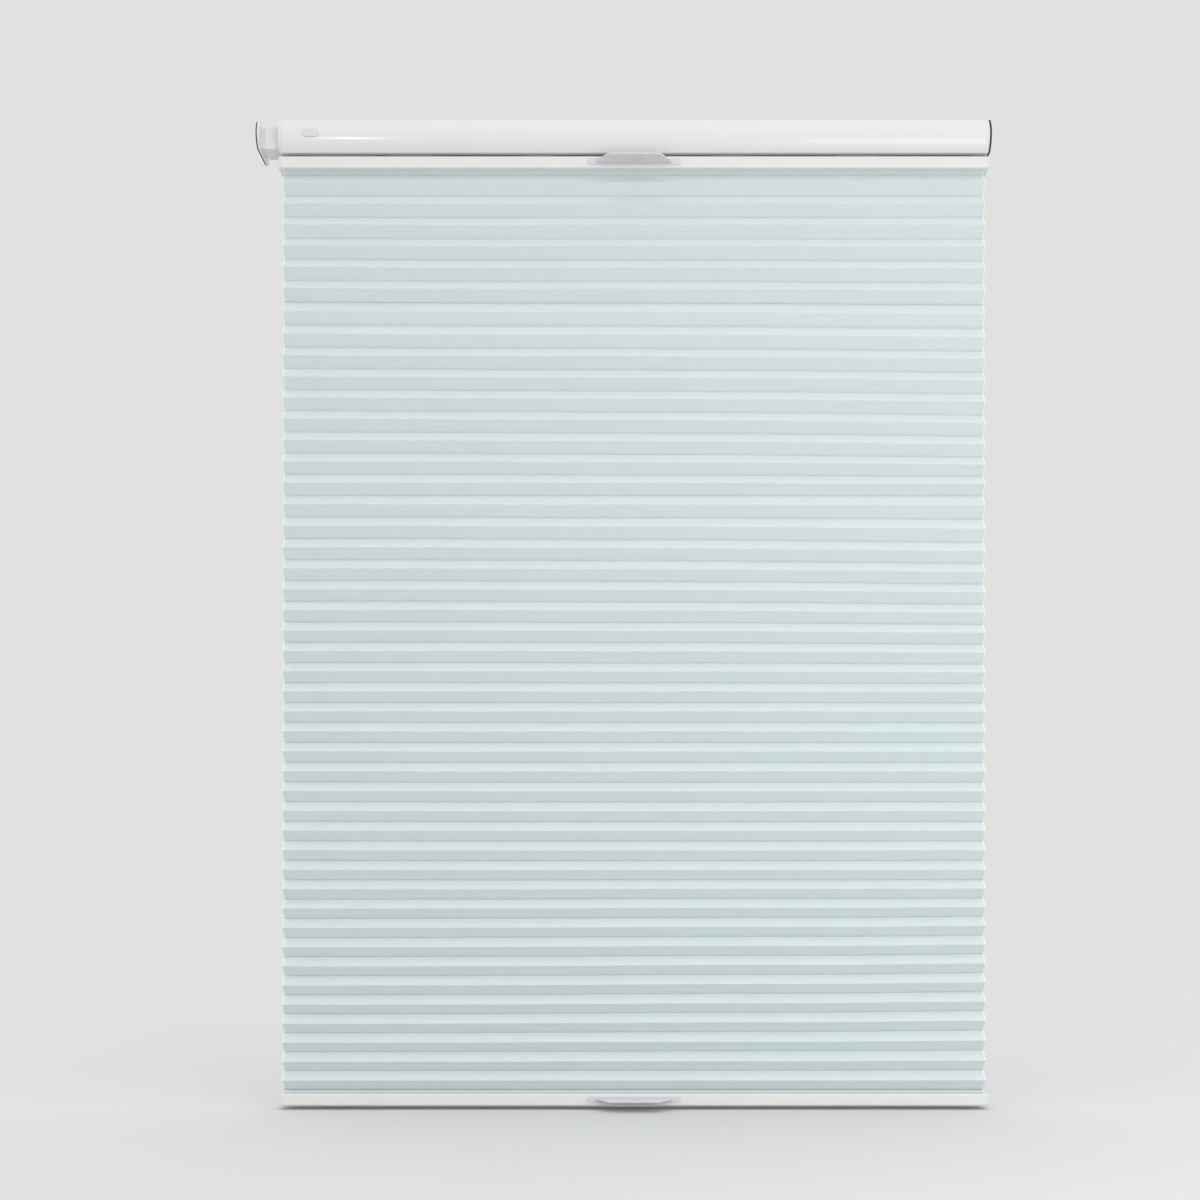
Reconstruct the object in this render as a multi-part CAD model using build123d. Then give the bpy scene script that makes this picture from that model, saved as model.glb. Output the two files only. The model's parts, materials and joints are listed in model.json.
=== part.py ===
"""A cordless honeycomb blind that opens from the top and from the bottom.

Millimetres. X runs along the rails, +Y is towards the window, +Z is up.
The origin is on the head rail's flat top, above the middle of the slim rails.
"""

from build123d import *
import os
from math import asin, cos, sin, sqrt

# Slim rail profile, used for the middle rail and turned over for the bottom rail
slim_length = 711.2
slim_depth = 30.0
slim_height = 11.8
slim_wall = 1.3
slim_corner = 1.5
slot_width = 12.0
slim_cap_flange = 2.6
slim_cap_edge = 0.6
slim_cap_plug = 10.0
slim_plug_wall = 2.0
slim_plug_top = 1.5
seam_edge = 0.35

# Places of the slim rails, as hung with the fabric fully open
rail_gap = 2.9
blind_height = 986.2

# Head rail: a bowed channel, closed on top, with its mouth down
head_inset_left = 0.7
head_inset_right = 1.1
head_height = 33.4
head_front = -15.0
head_back = 25.0
head_bow = 8.0
head_wall = 1.5
head_corner = 2.2
mouth_front = -9.0
mouth_back = 17.0

# Head rail end caps and the wall pads
cap_flange = 3.5
cap_edge = 0.8
cap_plug = 12.0
cap_plug_wall = 1.6
pad_thickness = 1.8
left_pad_thickness = 1.3
pad_edge = 0.3

# Honeycomb fabric
fabric_inset = 3.1
cell_count = 45
facet = 13.4
glue_width = 6.0
fabric_wall = 0.5
pitch_fall = 0.142
pitch_power = 1.25
ridge_share = 0.48
top_notch_drop = 2.7
bottom_notch_rise = 3.2
neck_width = 9.2
tab_width = 18.8
cord_hole = 1.6

# Retaining strips that hold the fabric's end cells in the slim rails
strip_thickness = 1.6
strip_end_gap = 8.0

# Handle, the same moulding on both slim rails
handle_base_width = 94.0
handle_base_height = 6.0
handle_base_thickness = 0.8
handle_thickness = 1.9
handle_edge = 0.8
handle_drop = 0.7
handle_root_width = 78.0
handle_front_width = 52.0
handle_reach = 21.0
handle_corner = 7.0
dimple_width = 14.0
dimple_depth_y = 10.0
dimple_sink = 0.8
peg_radius = 1.5
peg_spread = 60.0

# Lift rods, spools and cords
station_inset = 130.6
rod_overhang = 23.0
rod_flats = 5.0
rod_gap = 21.0
rod_drop = 17.0
spool_turn_radius = 8.0
spool_flange_radius = 9.4
spool_length = 26.0
flange_thickness = 1.2
journal_radius = 4.2
cord_radius = 0.6

# Bushes and knot sleeves on the cords
grommet_radius = 2.0
grommet_length = 3.0
grommet_head_radius = 2.9
grommet_head = 0.8
anchor_radius = 2.3
anchor_length = 3.6
anchor_floor = 0.8

# Stations that stand on the lips of the head rail
station_gap = 0.7
floor_thickness = 2.0
station_wall = 2.5
station_wall_top = 4.0
cradle_length = 42.0
eyelet_radius = 1.5

# Spring motors
motor_spread = 190.0
motor_length = 30.0
drum_radius = 7.4
drum_flange_radius = 10.0
drum_length = 18.0
coil_gap = 0.4
band_thickness = 0.4
storage_coil_radius = 9.6
output_coil_radius = 8.6
sleeve_radius = 5.6
sleeve_bore = 3.6

# Sprung end that presses on the wall
wall_reach = 22.0
plate_height = 28.0
plate_depth = 47.0
plate_thickness = 2.2
plate_edge = 0.5
plate_centre_z = -15.4
boss_height = 20.0
boss_depth = 24.0
boss_length = 4.0
block_height = 22.2
block_depth = 26.0
block_corner = 1.2
block_overlap = 3.0
block_front = -14.0
block_centre_z = -17.8
tension_travel = 12.0
stop_gap = 1.0
bar_size = 12.0
bar_inset = 55.5
bar_centre_y = -1.0
pocket_radius = 4.2
pocket_wall = 6.0
nub_inset = 9.0
nub_width = 2.0
nub_height = 3.0
nub_drop = 3.5
nub_proud = 0.3
housing_wall = 3.0
housing_inset = 93.5
peg_length = 14.0
spring_peg_radius = 2.4
tension_spring_radius = 3.4
tension_wire = 0.45
tension_turns = 9

# Release button
button_inset = 32.5
button_width = 16.0
button_height = 8.0
button_edge = 0.35
button_gap = 0.15
button_proud = 0.4
button_travel = 2.0
button_lip = 1.6
button_lip_thickness = 1.2
stem_height = 6.0
gate_thickness = 6.0
gate_wall = 3.0
guide_gap = 3.0
seat_rise = 6.0
button_spring_length = 5.0
button_spring_radius = 2.4
button_wire = 0.35
button_turns = 4

# Clearances
seat_gap = 0.15
moving_gap = 0.3
key_gap = 0.1
run_gap = 0.06
slide_gap = 0.6

# Places worked out from the sizes above
head_left = -slim_length / 2 + head_inset_left
head_right = slim_length / 2 - head_inset_right
head_middle_z = -head_height / 2
lip_top = -head_height + head_wall
station_front = head_front + head_wall + station_gap
station_back = head_back - head_wall - station_gap
fabric_length = slim_length - 2 * fabric_inset
slim_front = -slim_depth / 2
middle_top = -head_height - rail_gap
middle_bottom = middle_top - slim_height
turn_over_z = middle_top - blind_height
rod_z = -rod_drop
rod_bottom_y = -spool_turn_radius
rod_middle_y = rod_bottom_y + rod_gap
middle_cord_y = rod_middle_y - spool_turn_radius
station_x = (station_inset - slim_length / 2, slim_length / 2 - station_inset)
rod_end_x = station_x[1] + rod_overhang
motor_middle_x = -motor_spread / 2
motor_bottom_x = motor_spread / 2
notch_top = middle_bottom - top_notch_drop
notch_bottom = -blind_height + slim_height + bottom_notch_rise
tab_low = middle_bottom + slim_wall + moving_gap
tab_high = tab_low + 2 * fabric_wall + 2 * moving_gap + strip_thickness
slim_middle_z = middle_top - slim_height / 2
handle_z = slim_middle_z - handle_drop

# Places of the sprung end, from the wall inwards
pad_outer_x = head_left - wall_reach
plate_outer_x = pad_outer_x + left_pad_thickness
boss_outer_x = plate_outer_x + plate_thickness
block_outer_x = boss_outer_x + boss_length
block_inner_x = head_left + cap_flange + block_overlap
bar_end_x = head_left + bar_inset
housing_start_x = block_inner_x + tension_travel + stop_gap
housing_end_x = head_left + housing_inset

# Places of the release button: its face, its flange, its gate and its spring's seat
button_x = head_left + button_inset
bow_radius = (head_height**2 / 4 + head_bow**2) / (2 * head_bow)
button_lip_reach = button_height / 2 + button_lip
bow_depth = bow_radius - sqrt(bow_radius**2 - button_lip_reach**2)
button_face_y = head_front - head_bow - button_proud
button_flange_y = head_front - head_bow + head_wall + bow_depth + moving_gap
gate_front_y = bar_centre_y - bar_size / 2 - button_travel - slide_gap
gate_back_y = bar_centre_y + bar_size / 2 + moving_gap
gate_rear_y = gate_back_y + gate_wall
button_seat_y = gate_rear_y + button_travel + button_spring_length


def box(x, y, z):
    """A block between two X values, two Y values and two Z values."""
    middle = Pos((x[0] + x[1]) / 2, (y[0] + y[1]) / 2, (z[0] + z[1]) / 2)
    return middle * Box(x[1] - x[0], y[1] - y[0], z[1] - z[0])


def round_x(radius, x, y, z):
    """A round bar along X."""
    return Pos((x[0] + x[1]) / 2, y, z) * Rot(0, 90, 0) * Cylinder(radius, x[1] - x[0])


def round_y(radius, x, y, z):
    """A round bar along Y."""
    return Pos(x, (y[0] + y[1]) / 2, z) * Rot(90, 0, 0) * Cylinder(radius, y[1] - y[0])


def round_z(radius, x, y, z):
    """A round bar along Z."""
    return Pos(x, y, (z[0] + z[1]) / 2) * Cylinder(radius, z[1] - z[0])


def drawn(profile, x):
    """A profile of (y, z) points drawn out along X."""
    return extrude(Plane.YZ.offset(x[0]) * profile, amount=x[1] - x[0])


def faced(profile, y):
    """A profile of (x, z) points drawn out along Y."""
    return extrude(Plane.XZ.offset(-y[1]) * profile, amount=y[1] - y[0])


def polygon(points):
    """A flat face with straight sides."""
    return make_face(Polyline(*points, close=True))


def inward(face, amount):
    """A face drawn in evenly from its edge, with sharp corners kept."""
    return offset(face, amount=-amount, kind=Kind.INTERSECTION)


def bowed(front, back, top, bottom, bow, corner):
    """The outline of the head rail: flat on three sides, with a bowed front."""
    arc = ThreePointArc((front, top), (front - bow, (top + bottom) / 2), (front, bottom))
    sides = Polyline((front, bottom), (back, bottom), (back, top), (front, top))
    face = make_face(arc.edges() + sides.edges())
    return fillet(face.vertices(), corner)


def head_outline():
    """The outside of the head rail."""
    return bowed(head_front, head_back, 0, -head_height, head_bow, head_corner)


def button_outline(grow):
    """The oval of the release button, in X and Z, made larger all round."""
    oval = SlotOverall(button_width + 2 * grow, button_height + 2 * grow)
    return Pos(button_x, head_middle_z) * oval


def make_head_rail():
    """The bowed channel, with an oval hole for the button."""
    ends = (head_left + cap_flange, head_right - cap_flange)
    profile = head_outline() - inward(head_outline(), head_wall)
    mouth = Pos((mouth_front + mouth_back) / 2, -head_height)
    profile -= mouth * Rectangle(mouth_back - mouth_front, 4 * head_wall)
    hole = faced(button_outline(button_gap), (head_front - 2 * head_bow, head_front))
    return drawn(profile, ends) - hole


def make_head_cap():
    """The right cap, from its outer face at X = 0: a flange and a hollow plug."""
    flange = drawn(head_outline(), (-cap_flange, 0))
    flange = fillet(flange.faces().sort_by(Axis.X)[-1].edges(), cap_edge)
    flange = fillet(flange.faces().sort_by(Axis.X)[0].edges(), seam_edge)
    plug = inward(head_outline(), head_wall + seat_gap)
    hollow = inward(head_outline(), head_wall + seat_gap + cap_plug_wall)
    return flange + drawn(plug - hollow, (-cap_flange - cap_plug, -cap_flange))


def block_section(grow):
    """The section of the tension block in Y and Z, made larger all round."""
    centre = Pos(block_front + block_depth / 2, block_centre_z)
    return centre * RectangleRounded(
        block_depth + 2 * grow, block_height + 2 * grow, block_corner + grow
    )


def make_left_cap():
    """The left cap, with an opening for the tension block."""
    cap = Pos(head_left, 0, 0) * mirror(make_head_cap(), Plane.YZ)
    opening = drawn(block_section(slide_gap), (head_left - 1, head_left + cap_flange + 1))
    return cap - opening


def make_right_pad():
    """The rubber pad between the right cap and the wall."""
    return drawn(inward(head_outline(), pad_edge), (head_right, head_right + pad_thickness))


def plate_outline():
    """The outline of the pressure plate, bowed as the head rail is."""
    top = plate_centre_z + plate_height / 2
    front = head_back - plate_depth + head_bow
    return bowed(front, head_back, top, top - plate_height, head_bow, head_corner)


def make_left_pad():
    """The rubber pad on the pressure plate."""
    return drawn(inward(plate_outline(), pad_edge), (pad_outer_x, plate_outer_x))


def make_pressure_plate():
    """The plate that presses on the wall, with a boss that seats on the block."""
    plate = drawn(plate_outline(), (plate_outer_x, boss_outer_x))
    plate = fillet(plate.faces().sort_by(Axis.X)[-1].edges(), plate_edge)
    middle = Pos(block_front + block_depth / 2, block_centre_z)
    boss = middle * RectangleRounded(boss_depth, boss_height, block_corner)
    return plate + drawn(boss, (boss_outer_x, block_outer_x))


def bar_section(grow):
    """The section of the hollow bar behind the block."""
    return Pos(bar_centre_y, head_middle_z) * Rectangle(bar_size + 2 * grow, bar_size + 2 * grow)


def make_tension_block():
    """The block that shows beside the head rail, and its bar with a spring pocket."""
    block = drawn(block_section(0), (block_outer_x, block_inner_x))
    bar = drawn(bar_section(0), (block_inner_x, bar_end_x))
    nub_z = block_centre_z - nub_drop
    nub = box(
        (block_outer_x + nub_inset, block_outer_x + nub_inset + nub_width),
        (block_front - nub_proud, block_front),
        (nub_z - nub_height / 2, nub_z + nub_height / 2),
    )
    pocket = round_x(
        pocket_radius, (block_inner_x + pocket_wall, bar_end_x), bar_centre_y, head_middle_z
    )
    return block + bar + nub - pocket


def station_base(x):
    """A floor that rests on the lips, with a key that fills the mouth between them."""
    floor = box(x, (station_front, station_back), (lip_top, lip_top + floor_thickness))
    key = box(x, (mouth_front + moving_gap, mouth_back - moving_gap), (-head_height, lip_top))
    return floor + key


def station_wall_at(x):
    """A cross wall that stands on a station's floor."""
    return box(x, (station_front, station_back), (lip_top + floor_thickness, -station_wall_top))


def make_release_button():
    """The oval button, and the gate that locks the bar from behind."""
    cap = faced(button_outline(0), (button_face_y, button_flange_y))
    cap = fillet(cap.faces().sort_by(Axis.Y)[0].edges(), button_edge)
    lip_y = (button_flange_y, button_flange_y + button_lip_thickness)
    flange = faced(button_outline(button_lip), lip_y)
    stem = box(
        (button_x - gate_thickness / 2, button_x + gate_thickness / 2),
        (lip_y[1], gate_front_y),
        (head_middle_z - stem_height / 2, head_middle_z + stem_height / 2),
    )
    half = bar_size / 2 + moving_gap
    frame = box(
        (button_x - gate_thickness / 2, button_x + gate_thickness / 2),
        (gate_front_y - gate_wall, gate_rear_y),
        (head_middle_z - half - gate_wall, head_middle_z + half + gate_wall),
    )
    window = box(
        (button_x - gate_thickness, button_x + gate_thickness),
        (gate_front_y, gate_back_y),
        (head_middle_z - half, head_middle_z + half),
    )
    return cap + flange + stem + frame - window


def make_tension_housing():
    """The guide in the head rail: a floor, cross walls, an end wall and two spring pegs."""
    body = station_base((housing_start_x, housing_end_x))
    guide_x = button_x + gate_thickness + guide_gap
    body += station_wall_at((housing_start_x, housing_start_x + housing_wall))
    body += station_wall_at((guide_x, guide_x + housing_wall))
    body -= drawn(bar_section(moving_gap), (housing_start_x - 1, bar_end_x))
    end_wall = (housing_end_x - housing_wall, housing_end_x)
    body += station_wall_at(end_wall)
    peg_x = (end_wall[0] - peg_length, end_wall[0])
    body += round_x(spring_peg_radius, peg_x, bar_centre_y, head_middle_z)
    seat = box(
        (housing_start_x + housing_wall, guide_x),
        (button_seat_y, button_seat_y + housing_wall),
        (lip_top + floor_thickness, head_middle_z + seat_rise),
    )
    return body + seat


def coil(turns, radius, wire, length):
    """A coil spring that stands on Z = 0."""
    pitch = (length - 2 * wire) / turns
    path = Helix(pitch=pitch, height=length - 2 * wire, radius=radius)
    start = Plane(origin=path @ 0, z_dir=path % 0)
    return Pos(0, 0, wire) * sweep(start * Circle(wire), path=path, is_frenet=True)


def make_tension_spring():
    """The coil spring between the bar's pocket and the housing's end wall."""
    start = block_inner_x + pocket_wall + moving_gap
    length = housing_end_x - housing_wall - moving_gap - start
    spring = coil(tension_turns, tension_spring_radius, tension_wire, length)
    return Pos(start, bar_centre_y, head_middle_z) * Rot(0, 90, 0) * spring


def make_button_spring():
    """The small coil spring that pushes the button back out."""
    start = gate_rear_y + moving_gap
    length = button_seat_y - moving_gap - start
    spring = coil(button_turns, button_spring_radius, button_wire, length)
    return Pos(button_x, start, head_middle_z) * Rot(-90, 0, 0) * spring


def hexagon(grow=0.0):
    """The section of a lift rod."""
    return RegularPolygon(rod_flats / 2 + grow, 6, major_radius=False)


def make_rod(y):
    """A hexagonal lift rod."""
    return drawn(Pos(y, rod_z) * hexagon(), (-rod_end_x, rod_end_x))


def make_spool(x, y):
    """A cord spool: barrel, flanges and two journals, with a hexagonal bore."""
    half = spool_length / 2
    barrel = spool_turn_radius - cord_radius - moving_gap
    spool = round_x(barrel, (x - half, x + half), y, rod_z)
    for end in (x - half, x + half - flange_thickness):
        spool += round_x(spool_flange_radius, (end, end + flange_thickness), y, rod_z)
    reach = cradle_length / 2
    spool += round_x(journal_radius, (x - reach, x + reach), y, rod_z)
    return spool - drawn(Pos(y, rod_z) * hexagon(key_gap), (x - reach, x + reach))


def make_cradle(x):
    """A lift station: two cross walls with bores, and an eyelet for each cord."""
    half = cradle_length / 2
    body = station_base((x - half, x + half))
    body += station_wall_at((x - half, x - half + station_wall))
    body += station_wall_at((x + half - station_wall, x + half))
    for y in (rod_bottom_y, rod_middle_y):
        body -= round_x(journal_radius + run_gap, (x - half, x + half), y, rod_z)
    for y in (0, middle_cord_y):
        body -= round_z(eyelet_radius, x, y, (-head_height, lip_top + floor_thickness))
    return body


def make_drum(x, y, journal, bore):
    """A spring drum: barrel, two flanges and two journals."""
    half = drum_length / 2
    drum = round_x(drum_radius, (x - half, x + half), y, rod_z)
    for end in (x - half, x + half - flange_thickness):
        drum += round_x(drum_flange_radius, (end, end + flange_thickness), y, rod_z)
    reach = motor_length / 2
    drum += round_x(journal, (x - reach, x + reach), y, rod_z)
    return drum - drawn(Pos(y, rod_z) * bore, (x - reach, x + reach))


def make_motor_frame(x, output_y, storage_y):
    """The frame of a spring motor, with a bore for each drum in both walls."""
    half = motor_length / 2
    body = station_base((x - half, x + half))
    body += station_wall_at((x - half, x - half + station_wall))
    body += station_wall_at((x + half - station_wall, x + half))
    bores = ((output_y, journal_radius), (storage_y, sleeve_radius))
    for y, radius in bores:
        body -= round_x(radius + run_gap, (x - half, x + half), y, rod_z)
    return body


def make_flat_spring(x, output_y, storage_y):
    """A steel band, coiled on both drums and crossing between them."""
    half = drum_length / 2 - flange_thickness - moving_gap
    inner = drum_radius + coil_gap
    centres = ((storage_y, storage_coil_radius), (output_y, output_coil_radius))
    coils = [Pos(y, rod_z) * (Circle(r) - Circle(inner)) for y, r in centres]
    side = 1 if output_y > storage_y else -1
    reach = storage_coil_radius + output_coil_radius - band_thickness
    lean = asin(reach / abs(output_y - storage_y))
    across = (side * sin(lean), -cos(lean))
    points = []
    for (y, r), sign in zip(centres, (1, -1)):
        for depth in (0, band_thickness):
            away = sign * (r - depth)
            points.append((y + away * across[0], rod_z + away * across[1]))
    band = polygon([points[0], points[1], points[2], points[3]])
    return drawn(coils[0] + coils[1] + band, (x - half, x + half))


def slim_profile():
    """The slim rail's section as the middle rail has it, with its slot down."""
    centre = Pos(0, slim_middle_z)
    outer = centre * RectangleRounded(slim_depth, slim_height, slim_corner)
    inner = inward(outer, slim_wall)
    slot = Pos(0, middle_bottom) * Rectangle(slot_width, 4 * slim_wall)
    return outer - inner - slot


def make_slim_rail(holes):
    """A slim rail, with holes (x, y, radius) through its closed side."""
    half = slim_length / 2 - slim_cap_flange
    rail = drawn(slim_profile(), (-half, half))
    for x, y, radius in holes:
        rail -= round_z(radius, x, y, (middle_top - 2 * slim_wall, middle_top))
    for x in (-peg_spread / 2, peg_spread / 2):
        peg_y = (slim_front, slim_front + 2 * slim_wall)
        rail -= round_y(peg_radius + key_gap, x, peg_y, handle_z)
    return rail


def make_slim_cap(side):
    """An end cap of a slim rail: a flange and a plug that stops above the lips."""
    outer_x = slim_length / 2
    centre = Pos(0, slim_middle_z)
    outline = centre * RectangleRounded(slim_depth, slim_height, slim_corner)
    flange = drawn(outline, (outer_x - slim_cap_flange, outer_x))
    flange = fillet(flange.faces().sort_by(Axis.X)[-1].edges(), slim_cap_edge)
    flange = fillet(flange.faces().sort_by(Axis.X)[0].edges(), seam_edge)
    plug_x = (outer_x - slim_cap_flange - slim_cap_plug, outer_x - slim_cap_flange)
    reach = slim_depth / 2 - slim_wall - seat_gap
    top = middle_top - slim_wall - seat_gap
    low = middle_bottom + slim_wall + seat_gap
    cap = flange
    for y in ((-reach, -reach + slim_plug_wall), (reach - slim_plug_wall, reach)):
        cap += box(plug_x, y, (low, top))
    cap += box(plug_x, (-reach, reach), (top - slim_plug_top, top))
    return cap if side > 0 else mirror(cap, Plane.YZ)


def make_strip():
    """The retaining strip inside the fabric's end cell, with cord holes."""
    half = fabric_length / 2 - strip_end_gap
    reach = tab_width / 2 - fabric_wall - moving_gap
    low = tab_low + fabric_wall + moving_gap
    strip = box((-half, half), (-reach, reach), (low, low + strip_thickness))
    for x in station_x:
        strip -= round_z(cord_hole, x, 0, (low, low + strip_thickness))
    return strip


def make_handle():
    """The finger tab: a slim base on the rail's face, and a shelf with a dimple under it."""
    base_front = slim_front - handle_base_thickness
    base = Pos(0, slim_middle_z) * SlotOverall(handle_base_width, handle_base_height)
    handle = faced(base, (base_front, slim_front))
    front = slim_front - handle_reach
    root = handle_root_width / 2
    nose = handle_front_width / 2
    plan = polygon(
        [(-root, slim_front), (-nose, front), (nose, front), (root, slim_front)]
    )
    plan = fillet(plan.vertices().sort_by(Axis.Y)[:2], handle_corner)
    low = handle_z - handle_thickness / 2
    shelf = extrude(Pos(0, 0, low) * plan, amount=handle_thickness)
    free = shelf.edges().filter_by_position(Axis.Y, front - 1, base_front - handle_edge)
    handle += fillet(free, handle_edge)
    dimple = Pos(0, slim_front - handle_reach / 2, low) * Ellipse(
        dimple_width / 2, dimple_depth_y / 2
    )
    handle -= extrude(dimple, amount=dimple_sink)
    for x in (-peg_spread / 2, peg_spread / 2):
        handle += round_y(peg_radius, x, (slim_front, slim_front + 2 * slim_wall), handle_z)
    return handle


def make_grommets():
    """Two flanged bushes that lead the bottom rail's cords through the middle rail."""
    bushes = []
    low = middle_top - grommet_length
    high = middle_top + grommet_head
    for x in station_x:
        bush = round_z(grommet_radius, x, 0, (low, middle_top))
        bush += round_z(grommet_head_radius, x, 0, (middle_top, high))
        bushes.append(bush - round_z(eyelet_radius, x, 0, (low, high)))
    return Compound(children=bushes)


def make_anchors(y, high):
    """Two sleeves that the ends of a rail's cords are knotted in."""
    sleeves = []
    low = high - anchor_length
    bore = cord_radius + moving_gap
    for x in station_x:
        sleeve = round_z(anchor_radius, x, y, (low, high))
        sleeves.append(sleeve - round_z(bore, x, y, (low + anchor_floor, high)))
    return Compound(children=sleeves)


def turned_over(shape):
    """A piece of the middle rail turned over for the bottom rail."""
    return Pos(0, 0, turn_over_z) * Rot(0, 180, 0) * shape


def make_cord(x, y, low):
    """A lift cord from its spool straight down."""
    return round_z(cord_radius, x, y, (low, rod_z))


def cell_heights():
    """The Z of each glued notch: lower cells carry less weight and open less."""
    places = [n / (cell_count - 1) for n in range(cell_count)]
    weights = [1 - pitch_fall * place**pitch_power for place in places]
    share = (notch_top - notch_bottom) / sum(weights)
    heights = [notch_top]
    for weight in weights:
        heights.append(heights[-1] - share * weight)
    return heights


def make_fabric():
    """Honeycomb cells glued one below the other, and a tab in each rail."""
    heights = cell_heights()
    glue = glue_width / 2
    neck = neck_width / 2
    tab = tab_width / 2
    top_side = [(tab, tab_high), (tab, tab_low), (neck, tab_low), (neck, middle_bottom)]
    low_side = [(y, turn_over_z - z) for y, z in reversed(top_side)]
    loops = [top_side + [(glue, heights[0])]]
    for high, low in zip(heights, heights[1:]):
        ridge = glue + sqrt(facet**2 - ((high - low) / 2) ** 2)
        ridge_z = high - ridge_share * (high - low)
        loops.append([(glue, high), (ridge, ridge_z), (glue, low)])
    loops.append([(glue, heights[-1])] + low_side)
    side = loops[0][:-1] + [point for loop in loops[1:-1] for point in loop[:-1]]
    side += loops[-1]
    profile = polygon([(-y, z) for y, z in side] + list(reversed(side)))
    for loop in loops:
        cell = polygon([(-y, z) for y, z in loop] + list(reversed(loop)))
        profile -= inward(cell, fabric_wall)
    fabric = drawn(profile, (-fabric_length / 2, fabric_length / 2))
    for x in station_x:
        fabric -= round_z(cord_hole, x, 0, (-blind_height, middle_top))
    return fabric


middle_holes = [(x, 0, grommet_radius + key_gap) for x in station_x]
middle_holes += [(x, middle_cord_y, eyelet_radius) for x in station_x]
knot_depth = anchor_length - anchor_floor - moving_gap
middle_anchor_z = middle_top - slim_wall
middle_cord_low = middle_anchor_z - knot_depth
bottom_anchor_z = turn_over_z - (tab_high + moving_gap)
bottom_cord_low = bottom_anchor_z - knot_depth
middle_rods = (rod_middle_y, rod_bottom_y)
bottom_rods = (rod_bottom_y, rod_middle_y)
hex_bore = hexagon(key_gap)
round_bore = Circle(sleeve_bore)

nodes = {
    "head_rail": make_head_rail(),
    "head_cap_left": make_left_cap(),
    "head_cap_right": Pos(head_right, 0, 0) * make_head_cap(),
    "right_pad": make_right_pad(),
    "tension_housing": make_tension_housing(),
    "tension_block": make_tension_block(),
    "pressure_plate": make_pressure_plate(),
    "left_pad": make_left_pad(),
    "tension_spring": make_tension_spring(),
    "release_button": make_release_button(),
    "button_spring": make_button_spring(),
    "lift_rod_middle": make_rod(rod_middle_y),
    "lift_rod_bottom": make_rod(rod_bottom_y),
    "output_drum_middle": make_drum(motor_middle_x, rod_middle_y, journal_radius, hex_bore),
    "output_drum_bottom": make_drum(motor_bottom_x, rod_bottom_y, journal_radius, hex_bore),
    "storage_drum_middle": make_drum(motor_middle_x, rod_bottom_y, sleeve_radius, round_bore),
    "storage_drum_bottom": make_drum(motor_bottom_x, rod_middle_y, sleeve_radius, round_bore),
    "motor_frame_middle": make_motor_frame(motor_middle_x, *middle_rods),
    "motor_frame_bottom": make_motor_frame(motor_bottom_x, *bottom_rods),
    "flat_spring_middle": make_flat_spring(motor_middle_x, *middle_rods),
    "flat_spring_bottom": make_flat_spring(motor_bottom_x, *bottom_rods),
    "middle_rail": make_slim_rail(middle_holes),
    "middle_strip": make_strip(),
    "middle_handle": make_handle(),
    "middle_grommets": make_grommets(),
    "middle_anchors": make_anchors(middle_cord_y, middle_anchor_z),
    "bottom_rail": turned_over(make_slim_rail([])),
    "bottom_strip": turned_over(make_strip()),
    "bottom_handle": turned_over(make_handle()),
    "bottom_anchors": make_anchors(0, bottom_anchor_z),
    "cellular_fabric": make_fabric(),
}
for side, x in zip(("left", "right"), station_x):
    nodes[f"cradle_{side}"] = make_cradle(x)
    nodes[f"spool_middle_{side}"] = make_spool(x, rod_middle_y)
    nodes[f"spool_bottom_{side}"] = make_spool(x, rod_bottom_y)
    nodes[f"lift_cord_middle_{side}"] = make_cord(x, middle_cord_y, middle_cord_low)
    nodes[f"lift_cord_bottom_{side}"] = make_cord(x, 0, bottom_cord_low)
    nodes[f"middle_cap_{side}"] = make_slim_cap(x)
    nodes[f"bottom_cap_{side}"] = turned_over(make_slim_cap(-x))

os.makedirs("parts", exist_ok=True)
for name, shape in nodes.items():
    export_step(shape, f"parts/{name}.step")
    print(name, len(shape.solids()), "solids", round(shape.volume), "mm3")
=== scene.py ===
# %% [markdown]
# # A cordless honeycomb blind
# The imported model is loaded first. It holds every rigid piece at its true size and
# place, in metres, so nothing here is fitted or moved. What is added is what solids
# show badly: the pleated cloth, the cords, the coil springs and the finish of each
# surface. The box of the bare model is kept, and the floor is set just below it.

# %% Load the imported model
import json
import random
from math import pi, radians, sqrt

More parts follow.
